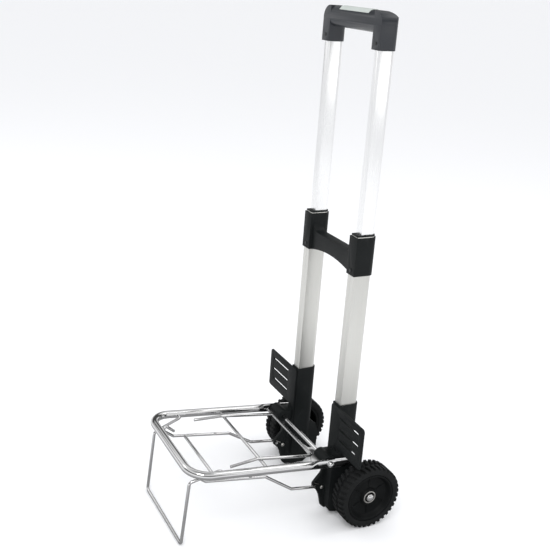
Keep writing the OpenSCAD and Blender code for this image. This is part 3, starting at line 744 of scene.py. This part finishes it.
finish_both(tyre_left(), "tyre", "tread", WHEEL_BODIES, "tyre")
finish_both(wheel_hub_left(), "wheel_hub", "moulding", WHEEL_BODIES, "wheel_plastic")
finish_both(hub_ring_left(), "hub_ring", "bright", WHEEL_BODIES, "steel")
finish_both(axle_cap_left(), "axle_cap", "bright", ("base", "base"), "chrome")


# ---------- floor, lights and camera ----------

def studio_floor():
    """Pale paper for the eye, with painted shade, a darker patch round the truck, that only whatever
    mirrors it sees.
    """
    bpy.ops.mesh.primitive_plane_add(size=400, location=(0, 0, 0))
    floor = bpy.context.object
    floor.name = "studio_floor"
    paper = bpy.data.materials.new("studio_paper")
    paper.use_nodes = True
    tree = paper.node_tree
    shader = tree.nodes["Principled BSDF"]
    shader.inputs["Roughness"].default_value = 0.9
    shader.inputs["Specular IOR Level"].default_value = 0.1
    spot = tree.nodes.new("ShaderNodeTexCoord")
    reach = tree.nodes.new("ShaderNodeVectorMath")
    reach.operation = "LENGTH"
    tree.links.new(spot.outputs["Object"], reach.inputs[0])
    # painted shade: for reflections the floor darkens from 0.95 at 0.85 m to 0.34 within 0.30 m of the
    # middle
    reflected_shade = tree.nodes.new("ShaderNodeMapRange")
    reflected_shade.inputs["From Min"].default_value = 0.30
    reflected_shade.inputs["From Max"].default_value = 0.85
    reflected_shade.inputs["To Min"].default_value = 0.34
    reflected_shade.inputs["To Max"].default_value = 0.95
    tree.links.new(reach.outputs["Value"], reflected_shade.inputs["Value"])
    sight = tree.nodes.new("ShaderNodeLightPath")
    tone = tree.nodes.new("ShaderNodeMix")
    tone.data_type = "RGBA"
    tone.inputs["A"].default_value = (0.97, 0.975, 0.985, 1)
    # only glossy rays see the painted shade; the eye sees the even pale paper
    tree.links.new(sight.outputs["Is Glossy Ray"], tone.inputs["Factor"])
    tree.links.new(reflected_shade.outputs["Result"], tone.inputs["B"])
    tree.links.new(tone.outputs["Result"], shader.inputs["Base Color"])
    floor.data.materials.append(paper)


def studio_air():
    """White all round for the eye, with dark flags over the horizon for whatever mirrors it."""
    world = bpy.data.worlds.new("studio_air")
    world.use_nodes = True
    tree = world.node_tree
    white = tree.nodes["Background"]
    white.inputs["Color"].default_value = (0.98, 0.985, 1.0, 1)
    white.inputs["Strength"].default_value = 0.96
    where = tree.nodes.new("ShaderNodeTexCoord")
    height = tree.nodes.new("ShaderNodeSeparateXYZ")
    tree.links.new(where.outputs["Generated"], height.inputs["Vector"])
    flags = tree.nodes.new("ShaderNodeValToRGB")
    tree.links.new(height.outputs["Z"], flags.inputs["Fac"])
    stops = [(0.0, 0.95), (0.16, 0.92), (0.26, 0.10), (0.48, 0.08), (0.60, 0.9), (0.80, 1.0),
             (1.0, 0.35)]
    while len(flags.color_ramp.elements) < len(stops):
        flags.color_ramp.elements.new(0.5)
    for element, (place, tone) in zip(flags.color_ramp.elements, stops):
        element.position = place
        element.color = (tone, tone, tone, 1)
    mirrored = tree.nodes.new("ShaderNodeBackground")
    mirrored.inputs["Strength"].default_value = 1.0
    tree.links.new(flags.outputs["Color"], mirrored.inputs["Color"])
    ray = tree.nodes.new("ShaderNodeLightPath")
    either = tree.nodes.new("ShaderNodeMixShader")
    tree.links.new(ray.outputs["Is Glossy Ray"], either.inputs["Fac"])
    tree.links.new(white.outputs["Background"], either.inputs[1])
    tree.links.new(mirrored.outputs["Background"], either.inputs[2])
    tree.links.new(either.outputs["Shader"], tree.nodes["World Output"].inputs["Surface"])
    bpy.context.scene.world = world


def soft_light(name, place, target, size, power):
    bpy.ops.object.light_add(type="AREA", location=place)
    lamp = bpy.context.object
    lamp.name = name
    lamp.data.shape = "SQUARE"
    lamp.data.size = size
    lamp.data.energy = power
    lamp.rotation_euler = (Vector(target) - Vector(place)).to_track_quat("-Z", "Y").to_euler()


def studio_camera():
    bpy.ops.object.camera_add(location=(1.37655, -0.71832, 1.00800))
    camera = bpy.context.object
    around = math.radians(62.657)
    above = math.radians(18.848)
    roll = math.radians(4.201)
    back = Vector((math.sin(around) * math.cos(above), -math.cos(around) * math.cos(above),
                   math.sin(above)))
    level = (-back).cross(Vector((0, 0, 1))).normalized()
    upright = level.cross(-back)
    across = math.cos(roll) * level + math.sin(roll) * upright
    upward = -math.sin(roll) * level + math.cos(roll) * upright
    turn = Matrix((across, upward, back)).transposed().to_4x4()
    camera.matrix_world = Matrix.Translation(camera.location) @ turn
    camera.data.sensor_width = 36
    camera.data.lens = 57.397
    camera.data.clip_end = 200
    bpy.context.scene.camera = camera


bpy.context.scene.view_settings.view_transform = "Standard"
studio_floor()
studio_air()
soft_light("key_light", (1.9, -1.6, 2.8), (0, 0, 0.3), 1.4, 34)
soft_light("fill_light", (-2.4, -2.2, 2.2), (0, 0, 0.4), 2.0, 12)
soft_light("back_light", (0.4, 2.2, 2.8), (0, 0, 0.3), 1.8, 14)
soft_light("rim_light", (2.2, 1.5, 1.3), (0, 0, 0.7), 1.0, 3.5)
studio_camera()

bpy.context.view_layer.update()
